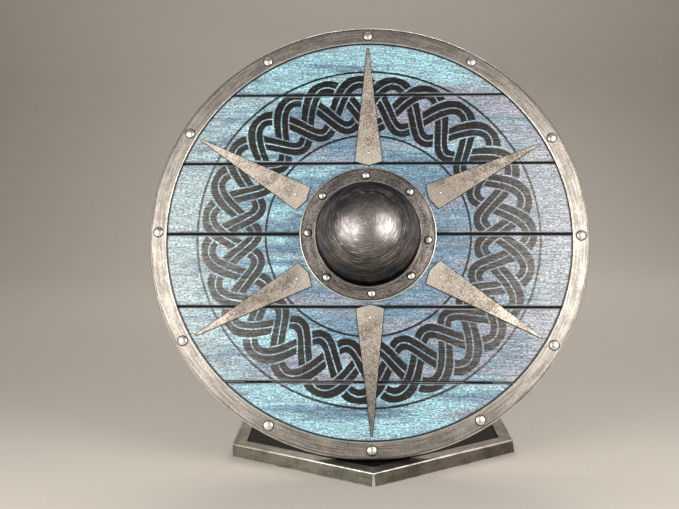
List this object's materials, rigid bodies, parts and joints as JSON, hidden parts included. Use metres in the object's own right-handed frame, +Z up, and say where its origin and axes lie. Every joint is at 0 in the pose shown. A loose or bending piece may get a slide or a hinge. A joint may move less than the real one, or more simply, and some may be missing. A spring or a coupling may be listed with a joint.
{
  "type": "round shield",
  "caption": "Round plank shield with a steel rim, a domed boss and flat spikes that ray out from it, leaning back in a hexagonal steel stand.",
  "frame": {"origin": "on the ground under the middle of the hexagonal stand", "axes": "+Z up; -Y is the way the shield's face looks; +X is to the right as seen from the front"},
  "size_m": [0.6094, 0.4628, 0.6024],
  "materials": {
    "boards": "blue stain, matte",
    "rim": "brushed round the ring",
    "rivets": "polished",
    "boss": "spun, satin",
    "spikes": "satin",
    "battens": "bare, oiled",
    "stand": "brushed along the bars",
    "panel": "gloss"
  },
  "bodies": {
    "root": {"board_1": "boards", "board_2": "boards", "board_3": "boards", "board_4": "boards", "board_5": "boards", "board_6": "boards", "rim": "rim", "rim_rivet_1": "rivets", "rim_rivet_2": "rivets", "rim_rivet_3": "rivets", "rim_rivet_4": "rivets", "rim_rivet_5": "rivets", "rim_rivet_6": "rivets", "rim_rivet_7": "rivets", "rim_rivet_8": "rivets", "rim_rivet_9": "rivets", "rim_rivet_10": "rivets", "rim_rivet_11": "rivets", "rim_rivet_12": "rivets", "boss": "boss", "boss_rivet_1": "rivets", "boss_rivet_2": "rivets", "boss_rivet_3": "rivets", "boss_rivet_4": "rivets", "boss_rivet_5": "rivets", "boss_rivet_6": "rivets", "boss_rivet_7": "rivets", "boss_rivet_8": "rivets", "spike_1": "spikes", "spike_pin_1": "rivets", "spike_2": "spikes", "spike_pin_2": "rivets", "spike_3": "spikes", "spike_pin_3": "rivets", "spike_4": "spikes", "spike_pin_4": "rivets", "spike_5": "spikes", "spike_pin_5": "rivets", "spike_6": "spikes", "spike_pin_6": "rivets", "batten_left": "battens", "batten_right": "battens", "grip": "battens", "stand_bar_1": "stand", "stand_bar_2": "stand", "stand_bar_3": "stand", "stand_bar_4": "stand", "stand_bar_5": "stand", "stand_bar_6": "stand", "stand_panel": "panel", "stand_post": "stand", "stand_foot_plate": "stand", "stand_head_bar": "stand"}
  },
  "joints": []
}
